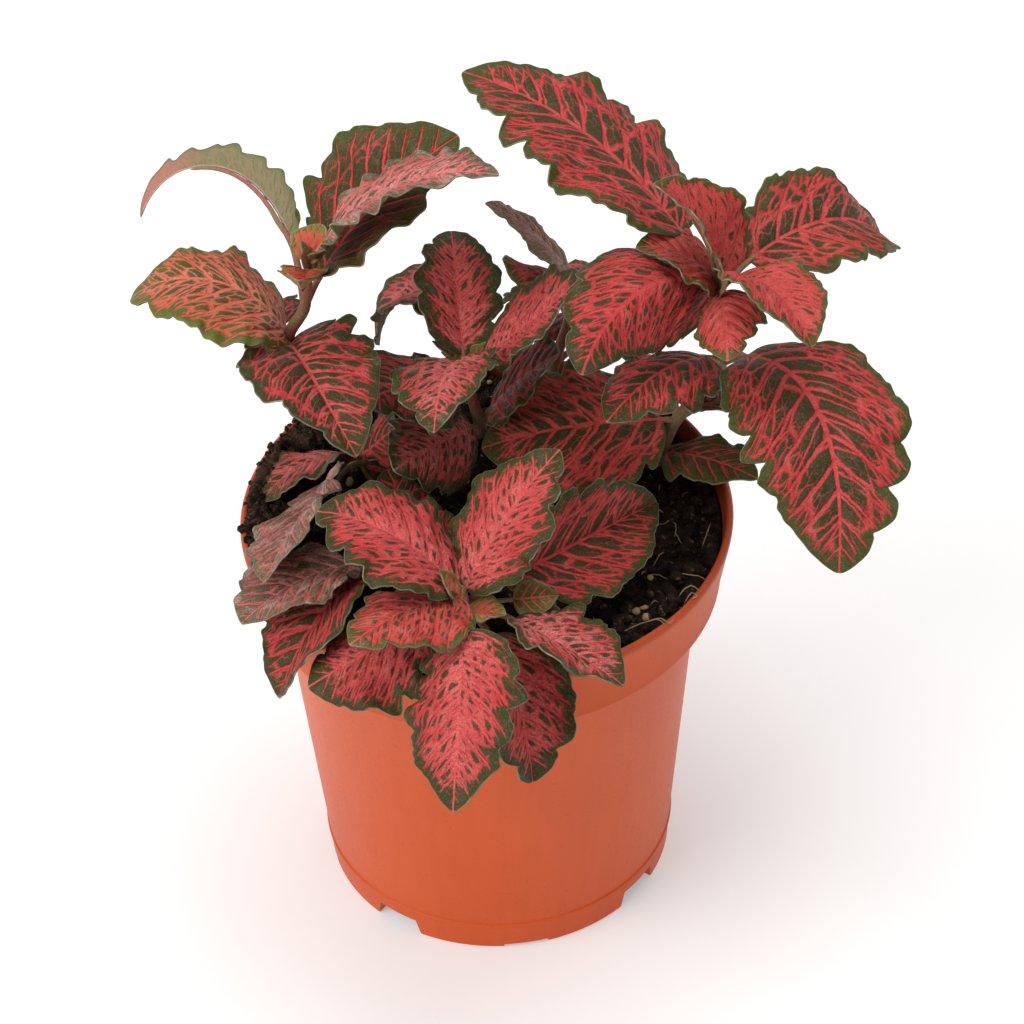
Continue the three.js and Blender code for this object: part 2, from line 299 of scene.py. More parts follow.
# %% The floor's finish
white_sweep = Finish(
    "white_sweep", Roughness=0.9, Specular_IOR_Level=0.1, Emission_Color=(1, 1, 1, 1),
    Emission_Strength=0.3,
)
grain = white_sweep.noise(white_sweep.point(), 0.02)
floor_colour = white_sweep.blend(grain, (0.70, 0.70, 0.70), (0.72, 0.72, 0.72))
floor.data.materials.append(white_sweep.wear(Base_Color=floor_colour))
print("floor finished")

# %% [markdown]
# ## The shape of a nerve plant's leaf
#
# Each leaf is described by a short row: where it grows, how it rises, falls and turns, how long and
# wide it is, and how its halves fold and bend. The midrib is a curve whose slope and heading change
# evenly, the outline swells quickly and narrows to a tip, and the margin is scalloped and waved.
# The solids were made from the same rows, so the fine leaves lie where the solids are.

# %% The leaf rows
SOIL_TOP = 104
ROOT_DEPTH = 12

# lengths in millimetres and angles in degrees
# node, heading, rise, fall, sweep, stalk, length, width, roll, twist, fold, bend, look
SHOOTS = {
    "shoot_left": {
        "foot": (-36, 34),
        "nodes": {
            "a": (-46.4, 26, 143), "b": (-41.8, 24, 154.8), "c": (-40.5, 22, 164), "d": (-40, 21, 170),
        },
        "leaves": [
            ("b", 95, 71, -72, 83, 17, 62, 14, -88, 1, 76, 6, "strap"),
            ("b", 22, 66, 12, 9, 10, 48, 42, 4, -26, 22, -11, "green"),
            ("c", -7, 76, 6, -21, 10, 60, 28, 7, 5, 11, -14, "silk"),
            ("a", 175, 83, -52, -7, 2, 48, 38, -5, 10, 7, -33, "salmon"),
            ("a", -78, 33, -26, 15, 2, 50, 34, -1, 19, 26, -20, "silver"),
            ("d", -98, -20, 72, 0, 1, 15, 15, 0, 0, 40, -12, "young"),
            ("d", 62, 62, 20, 0, 1, 10, 12, 10, 0, 30, -10, "young"),
            ("d", -120, 66, 88, 0, 1, 9, 5, -10, 0, 50, -5, "bud"),
            ("a", 118, 8, -72, 0, 6, 32, 26, 0, 5, 10, -25, "deep"),
        ],
    },
    "shoot_middle": {
        "foot": (-1, 32),
        "nodes": {"a": (-0.8, 24, 116), "b": (-3, 21, 130), "c": (-4, 19, 139)},
        "leaves": [
            ("c", 93, 59, -14, 1, 3, 37, 22, -9, 9, 18, -20, "rosy"),
            ("c", 80, 43, -88, 110, 11, 45, 28, 0, 5, 20, -21, "sheen"),
            ("c", -106, 53, -12, 12, 8, 41, 26, -13, 2, 19, -29, "sheen"),
            ("c", -19, 44, 53, 2, 7, 39, 28, -10, -7, 13, -12, "rosy"),
            ("a", -119, 30, 16, -2, 4, 41, 26, 41, -4, -2, -41, "sheen"),
            ("a", -29, 66, 42, -6, 7, 33, 24, -22, -3, 9, -25, "deep"),
            ("b", -143, 43, 11, 15, 6, 35, 28, 21, 1, 3, -28, "silver"),
            ("c", 158, 33, 40, 0, 1, 9, 5, 0, 0, 40, -10, "bract"),
            ("c", 15, 38, 45, 0, 1, 8, 5, 0, 0, 40, -10, "bract"),
        ],
    },
    "shoot_right": {
        "foot": (41, 20),
        "nodes": {
            "a": (43, 17, 111), "b": (47, 17, 121), "d": (58, 13, 142), "e": (57.5, 12, 156),
            "f": (57, 11, 166),
        },
        "leaves": [
            ("e", -150, 85, -59, 21, 7, 55, 38, 36, 2, -12, -60, "ruby"),
            ("d", -134, 51, -30, -2, 8, 37, 28, -5, 4, 0, -39, "deep"),
            ("f", 130, 46, -5, 17, 16, 70, 44, -14, 20, 9, -23, "large"),
            ("f", 154, 96, 26, 11, 1, 34, 26, -4, -9, 30, -3, "fresh"),
            ("f", 171, 78, -11, 9, 2, 24, 24, -8, -9, 12, -24, "fresh"),
            ("f", 27, 44, -73, 16, 10, 54, 30, -19, 6, 13, -11, "bright"),
            ("f", -50, 64, -39, -16, 9, 35, 24, 14, -7, 23, -19, "fresh"),
            ("f", -88, 42, -29, -3, 5, 27, 20, -18, 8, -7, -41, "fresh"),
            ("d", -40, 48, -85, -60, 10, 71, 43, 1, -5, 8, -30, "large"),
            ("b", 40, 4, -51, 7, 7, 24, 18, 3, -1, 14, -25, "green"),
            ("a", -36, 27, -9, 0, 1, 28, 22, 7, -5, 8, -23, "green"),
            ("b", -159, 24, -27, -27, 4, 46, 40, 17, 14, 3, -23, "bright"),
            ("d", 165, 70, 74, 0, 1, 13, 6, 0, 10, 30, -10, "bract"),
            ("d", 58, -16, -84, 0, 5, 34, 26, 0, -5, 10, -25, "deep"),
            ("b", 88, 26, -60, 0, 5, 34, 26, 0, 5, 10, -25, "deep"),
        ],
    },
    "shoot_front": {
        "foot": (-4, -30),
        "nodes": {"a": (-5, -36, 112), "b": (-6, -43, 119), "c": (-6, -46, 124), "d": (-6, -50, 123)},
        "leaves": [
            ("c", 155, 58, -22, -5, 2, 41, 34, -6, 28, 16, -36, "rosy"),
            ("c", 37, 63, 17, 6, 2, 40, 30, 8, -3, 9, -23, "rosy"),
            ("b", 27, 10, -11, 17, 11, 47, 32, -51, 13, 35, -5, "deep"),
            ("c", -140, 34, -15, -2, 1, 34, 30, -7, -5, 1, -34, "rust"),
            ("b", -141, 9, -34, -29, 12, 31, 34, 2, 8, -4, -29, "rosy"),
            ("c", -91, 13, -54, -7, 14, 44, 32, -29, 4, 6, -33, "rosy"),
            ("b", -58, 6, -84, -19, 12, 38, 28, 22, -21, 30, -12, "rosy"),
            ("b", -38, 16, -25, 4, 15, 31, 28, 20, -10, 18, -8, "sheen"),
            ("a", 124, 25, 0, -16, 7, 37, 24, -13, -2, 4, -35, "deep"),
            ("b", -8, 8, 14, 0, 12, 11, 11, -50, -20, 34, -10, "bract"),
            ("d", 165, 62, 70, 0, 1, 12, 8, 0, 0, 28, -20, "bud"),
            ("d", -22, 16, 6, 0, 1, 10, 9, 0, 0, 20, -15, "bud"),
        ],
    },
    "shoot_rear": {
        "foot": (17, 47),
        "nodes": {"a": (18, 48, 114), "b": (22, 44, 132), "c": (22.5, 41, 148)},
        "leaves": [
            ("c", -154, 22, 44, -8, 3, 18, 14, 13, 7, -9, -48, "rust"),
            ("c", 174, 69, 29, 7, 1, 30, 14, -4, -2, 8, -32, "faded"),
            ("b", 62, 18, -70, 0, 6, 36, 26, 0, 5, 12, -25, "deep"),
            ("b", 106, 2, -66, 0, 6, 32, 24, 0, -5, 12, -25, "deep"),
            ("a", 100, 14, -70, 0, 8, 34, 26, 0, 5, 8, -25, "deep"),
            ("a", 44, 14, -74, 0, 8, 32, 26, 0, -5, 8, -25, "deep"),
        ],
    },
    "shoot_low_left": {
        "foot": (-27, 16),
        "nodes": {"a": (-31, 19, 111), "b": (-34, 12, 114)},
        "leaves": [
            ("a", -157, 44, -52, 11, 3, 27, 26, -29, 19, 7, -14, "sheen"),
            ("b", -113, 26, -9, 4, 10, 43, 28, -42, 22, 19, -25, "pale"),
            ("b", -77, 37, 52, -10, 2, 18, 15, -25, -3, -3, -38, "bract"),
            ("a", -16, 53, 46, 1, 1, 15, 22, -25, 1, -1, -38, "deep"),
        ],
    },
    "shoot_front_left": {
        "foot": (-24, -20),
        "nodes": {"a": (-28, -22, 113)},
        "leaves": [
            ("a", -122, 23, -66, -12, 7, 37, 32, -23, -8, 23, -10, "deep"),
            ("a", -159, 22, -22, 22, 5, 32, 34, -18, 9, 19, -27, "pale"),
        ],
    },
}
print("leafy stems:", len(SHOOTS), "leaves:", sum(len(s["leaves"]) for s in SHOOTS.values()))

# %% [markdown]
# A leaf's look depends on its age and place. Old leaves are dark green with a red net, those in the
# light turn rosy as the red runs together, and the youngest are orange with a yellow-green edge.
# Each look is a row of numbers that the material reads. The first three draw the net: how thick
# its lines are, how much of the fine net reaches the midrib, where it runs together above 1, and
# how large its cells are. The rest are tints: fresh green, pale pink that is partly painted sheen,
# youth, the width of the green margin in millimetres, a dark red flush between the lines, and a
# painted whitish sheen.

# %% The looks
# fill, inner, spacing, fresh, pale, young, band, flush, sheen_level (painted whitish sheen)
LOOKS = {
    "deep": (0.48, 0.1, 2.1, 0.10, 0.10, 0.0, 2.4, 0.45, 0.05),
    "large": (0.44, 0.05, 2.2, 0.40, 0.10, 0.0, 2.8, 0.45, 0.1),
    "ruby": (0.42, 1.1, 1.9, 0.05, 0.00, 0.0, 3.0, 0.6, 0.1),
    "silver": (0.40, 0.1, 2.4, 0.05, 0.40, 0.0, 2.6, 0.45, 0.15),
    "rosy": (0.44, 1.6, 1.75, 0.05, 0.35, 0.0, 3.3, 0.6, 0.08),
    "sheen": (0.40, 1.3, 1.8, 0.10, 0.65, 0.0, 2.7, 0.6, 0.3),
    "silk": (0.40, 1.4, 1.9, 0.20, 1.00, 0.0, 2.2, 0.6, 0.7),
    "salmon": (0.36, 0.7, 2.0, 0.95, 1.00, 0.25, 2.8, 0.4, 0.1),
    "green": (0.0, 0.0, 3.2, 0.40, 0.05, 0.0, 3.0, 0.2, 0.1),
    "bright": (0.52, 0.2, 2.1, 0.30, 0.15, 0.1, 2.4, 0.3, 0.05),
    "fresh": (0.60, 1.4, 1.5, 0.20, 0.20, 0.2, 1.6, 0.6, 0.1),
    "rust": (0.50, 0.7, 1.5, 0.30, 0.10, 0.2, 1.8, 0.6, 0.2),
    "pale": (0.20, 0.3, 2.4, 0.30, 0.60, 0.0, 1.8, 0.5, 0.75),
    "strap": (0.60, 0.8, 1.7, 0.80, 0.80, 0.0, 1.4, 0.3, 0.6),
    "young": (0.80, 0.9, 1.3, 0.90, 0.10, 0.7, 1.0, 0.5, 0.1),
    "bud": (0.50, 0.9, 1.2, 1.00, 0.20, 0.60, 1.5, 0.0, 0.4),
    "faded": (0.00, 0.0, 2.2, 0.75, 1.00, 0.0, 1.2, 0.3, 0.95),
    "bract": (-0.20, 0.0, 2.4, 1.00, 0.10, 0.20, 2.0, 0.0, 0.5),
}
# how many times deeper than usual a look's margin is crimped, and the length of one wave in mm
CRIMPS = {"strap": (5.0, 6.5), "silk": (4.0, 8.0), "green": (1.8, 6.0), "salmon": (1.8, 5.0)}
# looks whose blades stay wide almost to the tip
BLUNT = {"strap"}
print("looks:", sorted(LOOKS))

# %% [markdown]
# ## Placing a flat grid on a leaf
#
# Blender's grid operator gives an even sheet of quads. Every point of the sheet has a place along
# the blade, u, and across it, v, and the formulas below turn the two into a point in space. NumPy
# works on all the points of a leaf at once. The same pass notes for each point how far it lies from
# the midrib, the margin and the nearest side vein, because the material needs those to draw.

# %% The outline and the midrib of a leaf
WIDEST = 0.42  # part of its length at which a blade is widest
NARROWING = 1.9  # the larger, the later a blade narrows to its tip
BLUNT_NARROWING = 7.0


def outline(u, narrowing=NARROWING):
    """Half width of a blade as a part of its widest, from base to tip."""
    base = np.sqrt(np.clip(1 - ((WIDEST - u) / WIDEST) ** 2, 0, 1)) ** 1.05
    past = np.clip((u - WIDEST) / (1 - WIDEST), 0, 1)
    tip = 0.82 * (1 - past**narrowing) + 0.18 * np.sqrt(1 - past**2)
    return np.where(u < WIDEST, base, tip)


def lobes_of(length):
    """Number of lobes on each margin of a blade."""
    if length >= 60:
        return 7
    if length >= 40:
        return 6
    return 5 if length >= 20 else 3


def frame_along(row, s):
    """Unit vectors at points of a midrib: along it, to its right and up from the blade's face."""
    _, heading, rise, fall, sweep = row[:5]
    psi = np.radians(heading + sweep * s)
    eps = np.radians(rise + (fall - rise) * s)
    along = np.stack([np.cos(psi) * np.cos(eps), np.sin(psi) * np.cos(eps), np.sin(eps)], 1)
    right = np.stack([np.sin(psi), -np.cos(psi), np.zeros_like(psi)], 1)
    return along, right, np.cross(right, along)


def leaf_frame(row, root, s, u, steps=120):
    """Points of a midrib at s, with unit vectors across the blade and out of its face."""
    ways = frame_along(row, (np.arange(steps) + 0.5) / steps)[0]
    total = row[5] + row[6]
    line = np.vstack([np.zeros(3), np.cumsum(ways * total / steps, 0)]) + np.array(root, float)
    at = np.linspace(0, 1, steps + 1)
    spot = np.stack([np.interp(s, at, line[:, k]) for k in range(3)], 1)
    _, right, up = frame_along(row, s)
    turned = np.radians(row[8] + row[9] * (u - 0.5))[:, None]
    side = right * np.cos(turned) + up * np.sin(turned)
    return spot, side, up * np.cos(turned) - right * np.sin(turned)


print("a blade half way along is", round(float(outline(np.array([0.5]))[0]), 3), "of its widest")

# %% The face of a leaf
# parts of the half width
NOTCH = 0.21  # depth of the notches between lobes
RUFFLE = 0.08  # height of the waves along the margin
TEETH = 0.014  # depth of the fine teeth on the lobes
LOBE_LIFT = 0.09  # how far single lobes turn up or down
# heights in millimetres, on a half blade of FULL_SIZE or wider
FULL_SIZE = 12
CRIMP_DEPTH = 0.32  # the margin's fine waves
VEIN_GROOVE = 0.36
RIB_GROOVE = 0.38
QUILT = 0.42  # how far the skin swells between side veins
VEIN_GROOVE_WIDTH = 0.8


def blade_points(row, root, u, v, seed):
    """Places of a blade's points, in millimetres, and what the material reads there."""
    stalk, length, wide = row[5:8]
    fold, bend, look = row[10:]
    crimp, crimp_length = CRIMPS.get(look, (1.0, 3.9))
    form = outline(u, BLUNT_NARROWING if look in BLUNT else NARROWING)
    half = wide / 2
    lobes = lobes_of(length)
    spot, side, face = leaf_frame(row, root, (stalk + length * u) / (stalk + length), u)
    sign = np.where(v < 0, -1.0, 1.0)
    size = np.abs(v)

    # the margin's scallops lean towards the tip and end in narrow notches of uneven depth
    beat = lobes * u + 0.06 * np.sin(2 * np.pi * u * 2.3 + seed + sign)
    part = beat - np.floor(beat)
    wave = np.sin(np.pi * part**1.45) ** 0.6
    notch_number = np.floor(beat + 0.45)
    vary = 0.62 + 0.5 * np.sin(5.1 * notch_number + seed * 3 + 2.1 * sign)
    fade = np.clip(np.minimum(6 * u, 5 * (1 - u)), 0, 1)
    notch = NOTCH * vary * (1 - wave) * fade
    teeth = TEETH * np.sin(2 * np.pi * 2.6 * lobes * u + seed) * fade
    width = half * np.clip(form + 0.02 - notch + teeth * min(1, FULL_SIZE / half), 0.006, None)

    # side veins lean forwards, more so towards the tip, and curve further that way at the margin
    across = size * width
    lean = (0.75 + 0.55 * u) * (half - across) / length - 0.15 * across**2 / (half * length)
    veins = lobes + (2 if length >= 60 else 1)
    count = veins * (u + lean) + 0.25 * np.sin(seed + 3 * sign)
    pitch = length / veins
    off_vein = np.abs(count - np.floor(count) - 0.5) * pitch

    # each half of the blade is folded up or down at the midrib and bent on the way to its margin
    theta = np.radians(fold) + np.radians(bend) * size * width / half
    a0 = math.radians(fold)
    b = math.radians(bend)
    lateral = sign * half * (np.sin(theta) - math.sin(a0)) / b
    height = half * (math.cos(a0) - np.cos(theta)) / b

    # the relief on it
    ruffle = sign * half * RUFFLE * v * v * form * np.sin(np.pi * lobes * u)
    near_edge = size**3
    phase = 2 * np.pi * u * length / crimp_length + seed + 2 * sign
    crinkle = CRIMP_DEPTH * crimp * near_edge * np.sin(phase + 0.7 * np.sin(0.4 * phase))
    turn_up = np.sin(seed * 2 + 1.3 * sign + 4 * u)
    lobe_lift = LOBE_LIFT * half * near_edge * (wave - 0.6) * turn_up
    groove = -VEIN_GROOVE * np.exp(-((off_vein / VEIN_GROOVE_WIDTH) ** 2)) * (1 - size**2)
    rib_line = -RIB_GROOVE * np.exp(-(across**2))
    quilt = groove + rib_line - QUILT * np.cos(2 * np.pi * (count - 0.5)) * (size - size**4)
    relief = form * min(1.0, half / FULL_SIZE) * (crinkle + quilt + lobe_lift)
    place = spot + side * lateral[:, None]
    place += face * (height + ruffle + relief)[:, None]

    edge = np.minimum((1 - size) * width, (1 - u) * length * 0.5)
    marks = {
        "leaf_place": np.stack([u * length, sign * across, edge], 1),
        "leaf_vein": np.stack([count, np.full_like(u, pitch), np.full_like(u, seed)], 1),
    }
    return place, marks


def stalk_points(line, radii, u, v):
    """Places on a round stalk: u runs along its line of points and v once round it."""
    line = np.array(line, float)
    t = np.linspace(0, 1, len(line))
    spot = np.stack([np.interp(u, t, line[:, k]) for k in range(3)], 1)
    ways = np.gradient(line, axis=0)
    way = np.stack([np.interp(u, t, ways[:, k]) for k in range(3)], 1)
    way /= np.linalg.norm(way, axis=1)[:, None]
    aside = np.cross(way, np.array([0.31, 0.9, 0.3]))
    aside /= np.linalg.norm(aside, axis=1)[:, None]
    other = np.cross(way, aside)
    radius = np.interp(u, np.linspace(0, 1, len(radii)), radii)
    ends = np.sqrt(np.clip(1 - (2 * np.abs(u - 0.5)) ** 40, 0, 1))
    angle = 2 * np.pi * v
    ring = aside * np.cos(angle)[:, None] + other * np.sin(angle)[:, None]
    return spot + ring * (radius * ends)[:, None]


print("the relief of a face:", CRIMP_DEPTH, VEIN_GROOVE, RIB_GROOVE, QUILT, "mm")

# %% [markdown]
# ## Finishes of the leaves
#
# A leaf is drawn in its own coordinates, which are attributes of its mesh. A red midrib sends out
# red side veins, and between them lie a coarse and a fine net of stretched cells, so what stays
# dark are small green islands that follow the veins. A Voronoi texture that gives the distance to
# the nearest border of a cell makes such a net: where that distance is short, the skin is red.
# Noise makes the lines ragged, and all of them thin out before the green margin.

# %% The red net of a leaf
SIDE_SINE = 0.68  # sine of the angle between a side vein and the midrib
COARSE_CELLS = (1.9, 3.4)  # how large the cells are, and how many times longer than wide
FINE_CELLS = (1.0, 2.5)
SOFT = 0.2  # millimetres by which a line's border is blurred to either side


def leaf_fields(finish):
    """What every side of a leaf needs: its coordinates, the look's numbers and the red net."""
    along, across, edge = finish.attribute("leaf_place").parts()
    count, pitch, seed = finish.attribute("leaf_vein").parts()
    fill, inner, spacing = finish.attribute("look_net").parts()
    fresh, pale, young = finish.attribute("look_tint").parts()
    band, flush, sheen_level = finish.attribute("look_edge").parts()
    from_midrib = abs(across)
    half_seed = seed * 5.3 + (across > 0.0) * 17.3
    blade = finish.vector(along * 0.22, across * 0.22, seed)
    drift = finish.noise(blade, 1.0, 2.0)
    wobble = finish.noise(finish.vector(along * 0.75, across * 0.75, seed + 40.0), 1.0, 1.0)
    warp = (drift - 0.5) * 1.6 + (wobble - 0.5) * 0.5

    # coordinates along and across the side veins, and the distance to the nearest one
    half = from_midrib + edge
    outer = (from_midrib / half).step(0.0, 0.75)
    reach = from_midrib / SIDE_SINE
    sideways = count * pitch * SIDE_SINE + warp
    vein_count = sideways / (pitch * SIDE_SINE)
    off = abs(vein_count - vein_count.floor() - 0.5) * pitch * SIDE_SINE
    gap = pitch * (SIDE_SINE / 2)
    onward = reach + (wobble - 0.5) * 2.0

    def net(size, stretch, shift):
        """Distance in millimetres from the lines of a net whose cells lie along the side veins."""
        cell = spacing * size
        where = finish.vector(
            sideways / cell + half_seed * 7.3 + shift, onward / (cell * stretch), 0.0
        )
        settings = {"voronoi_dimensions": "2D", "feature": "DISTANCE_TO_EDGE"}
        return finish.node("ShaderNodeTexVoronoi", settings, where, Scale=1.0, Randomness=0.9) * cell

    def lines(far, width):
        """1 on the lines of a net and 0 in its cells."""
        return far.step(width * inside + SOFT, width * inside - SOFT)

    rag = (wobble - 0.5) * 0.5
    inside = (edge + rag * 5.0).step(band * 0.5, band * 1.3)
    spread = outer * (1.0 - inner) + inner
    coarse_width = fill * 0.4 * spread.atleast(1.0) + 0.1 + rag * 0.5
    fine_width = (fill * 0.5 + 0.07) * spread + rag * 0.5
    fine_width = fine_width - (1.0 - outer) * (1.0 - inner).atleast(0.0) * 0.15
    coarse_far, fine_far = net(*COARSE_CELLS, 0.0), net(*FINE_CELLS, 31.7)
    coarse, fine = lines(coarse_far, coarse_width), lines(fine_far, fine_width)

    # the veins themselves, which are brightest along the middle of each line
    side_width = (edge * 0.04 + 0.2).atmost(0.65) * (fill * 0.4 + 0.68)
    side_vein = off.step(side_width + 0.34, side_width - 0.18) * edge.step(band * 0.2, band * 0.75)
    middle = from_midrib.step(half * 0.025 + 0.42, half * 0.025 + 0.1)
    red = side_vein.atleast(coarse * inside).atleast(fine * inside).atleast(middle)
    core = off.step(side_width + 0.3, 0.0).atleast(coarse_far.step(coarse_width + 0.2, 0.0) * 0.8)
    core = core.atleast(fine_far.step(fine_width + 0.3, 0.0) * 0.5).atleast(middle)
    streak = finish.noise(finish.vector(sideways * 1.6, reach * 0.5, half_seed), 1.0, 3.0, 0.65)
    speckle = finish.noise(finish.vector(along * 2.6, across * 2.6, seed), 1.0, 2.0, 0.7)
    streak = streak * 0.5 + speckle * 0.5
    blush = wobble.step(0.4, 0.7) * (off / gap).step(1.1, 0.2) * inside * flush
    return SimpleNamespace(
        edge=edge, along=along, from_midrib=from_midrib, fresh=fresh, pale=pale, young=young,
        sheen_level=sheen_level, red=red, core=core, middle=middle, side=side_vein, blush=blush,
        drift=drift, streak=streak, speckle=speckle,
    )


side_angle = math.degrees(math.asin(SIDE_SINE))
print("side veins leave the midrib at", round(side_angle), "degrees")

# %% [markdown]
# The upper side is laid in coats. Green islands come first, fresher near the margin and flushed
# with dark red near the veins. The red net follows, crimson with brighter cores, on pale leaves
# pink that is partly the veins' own tint and partly painted sheen, and orange on the freshest. A
# painted whitish sheen, a fuzz of fine down and a thin dry edge lie on top. The net also lifts the
# islands a little in the bump, as on a real leaf.

# %% The upper side of a leaf
# linear colours, some as a darker and a lighter one
DARK_GREEN = (0.016, 0.019, 0.004), (0.060, 0.057, 0.012)
FRESH_GREEN = (0.060, 0.075, 0.010), (0.115, 0.135, 0.022)
DARK_RED = (0.17, 0.018, 0.018)
CRIMSON = (0.23, 0.010, 0.016), (0.64, 0.064, 0.062)
# pale pink that is partly the veins' own tint and partly painted sheen
PINK_AND_SHEEN = (0.66, 0.12, 0.11), (0.78, 0.36, 0.32)
ORANGE = (0.68, 0.24, 0.12)
YOUNG_RED = (0.50, 0.075, 0.038)
YOUNG_MARGIN = (0.24, 0.22, 0.045)
# painted whitish sheen of the velvety skin, laid on as colour
SHEEN_WHITE = (0.42, 0.26, 0.22)
DOWN = (0.50, 0.40, 0.32)
DRY_EDGE = (0.45, 0.38, 0.28)

upper = Finish("leaf_upper", Roughness=0.5, Specular_IOR_Level=0.14)
f = leaf_fields(upper)
freshest = (f.fresh - 0.7).atleast(0.0)
greener = f.fresh * f.edge.step(9.0, 0.5) + freshest * 2.0
green = upper.coats(
    upper.blend(f.streak, *DARK_GREEN),
    (greener, upper.blend(f.streak, *FRESH_GREEN)),
    (f.blush, DARK_RED),
)
bright = f.streak * 0.7 + f.core * 0.35 + (f.drift - 0.5) * 0.6
towards_base = f.from_midrib.step(11.0, 0.0) * 0.7 + f.along.step(20.0, 0.0) * 0.6
# where the pale pink with painted sheen lies: towards the base and the midrib, in streaks
pink_sheen_amount = f.pale * towards_base * f.streak.step(0.3, 0.6)
vein_red = upper.coats(
    upper.blend(bright, *CRIMSON),
    (pink_sheen_amount, upper.blend(f.streak.step(0.35, 0.7), *PINK_AND_SHEEN)),
    (freshest * 1.6, ORANGE),
    (f.young, YOUNG_RED),
)
# painted whitish sheen in patches, and evenly over the looks with the most sheen
even_painted_sheen = (f.sheen_level - 0.5).atleast(0.0) * 1.3
painted_sheen = (f.drift.step(0.5, 0.7) * f.sheen_level + even_painted_sheen) * f.streak.step(0.3, 0.62)
skin = upper.coats(
    green,
    (f.red, vein_red),
    (f.young * f.edge.step(2.2, 0.2), YOUNG_MARGIN),
    (painted_sheen, SHEEN_WHITE),
    (f.speckle.step(0.52, 0.72) * (f.sheen_level * 0.2 + 0.12), DOWN),
    (f.edge.step(0.25, 0.1) * 0.3, DRY_EDGE),
)
pores = upper.node(
    "ShaderNodeTexVoronoi", {"feature": "F1"}, upper.point(), None, Scale=2.6, Randomness=1.0
)
relief = (1.0 - f.red) * 0.6 - f.side * 0.5 + pores * 0.25 + f.streak * 0.35
LEAF_UPPER = upper.wear(
    Base_Color=skin,
    Roughness=0.42 + f.streak * 0.22,
    Normal=upper.bump(relief, 0.00035, 0.8),
)
print("upper side:", len(upper.tree.nodes), "nodes")

# %% [markdown]
# The underside is paler and duller: an olive or greyish skin with the net showing through as faint
# pink, and veins that stand out where they are sunk above. The cut edge is a thin line, dark olive
# in some stretches and whitish in others.

# %% The underside and the cut edge
OLIVE = (0.13, 0.13, 0.055), (0.26, 0.24, 0.12)
FAINT_PINK = (0.30, 0.12, 0.10), (0.46, 0.26, 0.22)
TIP_PINK = (0.52, 0.17, 0.14)
MIDRIB_PINK = (0.50, 0.33, 0.27)
UNDER_MARGIN = (0.12, 0.15, 0.05)
UNDER_YOUNG = (0.42, 0.20, 0.07)
CUT_EDGE = (0.07, 0.065, 0.03), (0.32, 0.27, 0.19)

under = Finish("leaf_underside", Roughness=0.62, Specular_IOR_Level=0.15)
f = leaf_fields(under)
tip_flush = f.along.step(34.0, 50.0) * (f.fresh - 0.7).atleast(0.0) * 7.0
skin = under.coats(
    under.blend(f.streak, *OLIVE),
    (f.red * (0.65 - f.fresh * 0.55), under.blend(f.streak, *FAINT_PINK)),
    (tip_flush * f.streak.step(0.2, 0.5), TIP_PINK),
    (f.middle, MIDRIB_PINK),
    (f.edge.step(1.6, 0.3) * 0.6, UNDER_MARGIN),
    (f.young * 0.6, UNDER_YOUNG),
)
LEAF_UNDER = under.wear(
    Base_Color=skin,
    Roughness=0.55 + f.streak * 0.2,
    Normal=under.bump(f.red * 0.8 + f.streak * 0.3, 0.00035, 0.7),
)

rim = Finish("leaf_edge", Roughness=0.6, Specular_IOR_Level=0.3)
rim_tone = rim.noise(rim.point(), 0.25, 3.0).step(0.35, 0.75)
LEAF_EDGE = rim.wear(Base_Color=rim.blend(rim_tone, *CUT_EDGE))
print("underside:", len(under.tree.nodes), "nodes")

# %% [markdown]
# Stems and stalks are brownish pink in some stretches and olive in others, with a fine pale grain.
# A slow noise deals out the stretches, and a quick one the grain.

# %% The stems' finish
STEM_TONES = (0.30, 0.10, 0.08), (0.22, 0.16, 0.07)
PALE_GRAIN = (0.45, 0.24, 0.19)

bark = Finish("stem_skin", Roughness=0.6, Specular_IOR_Level=0.15)
where = bark.point()
grain = bark.noise(where, 1.5, 3.0)
tone = bark.coats(
    bark.blend(bark.noise(where, 0.16, 3.0).step(0.35, 0.65), *STEM_TONES),
    (grain.step(0.45, 0.75) * 0.5, PALE_GRAIN),
)
STEM_SKIN = bark.wear(
    Base_Color=tone, Roughness=0.5 + grain * 0.2, Normal=bark.bump(grain, 0.0003, 0.6)
)
print("stem skin ready")

# %% [markdown]
# ## Making the leafy stems
#
# For each leafy stem the blades go into one mesh, grid by grid, and a Solidify modifier gives them
# their thickness with its own finish for the underside and the cut edge. The stem and the stalks are
# grids rolled into tubes, in a second mesh. A stalk runs on under the blade as the raised midrib.

# %% Helpers for meshes
ALONG_PITCH = 0.52
ACROSS_PITCH = 0.75
WELD = 0.002 * MM


def new_piece(name, bm, finishes):
    """A piece of the visible plant from a finished bmesh, riding on the one body."""
    piece = put_mesh(name, bm)
    for finish in finishes:
        piece.data.materials.append(finish)
    piece.data.polygons.foreach_set("use_smooth", [True] * len(piece.data.polygons))
    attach(piece, "root")
    return piece


def grid_uv(bm, rows, columns):
    """A new even grid in a bmesh: its points, and their places along it and across it."""
    made = bmesh.ops.create_grid(bm, x_segments=rows, y_segments=columns, size=0.5)["verts"]
    flat = np.array([v.co[:2] for v in made])
    return made, flat[:, 0] + 0.5, 0.5 - flat[:, 1]


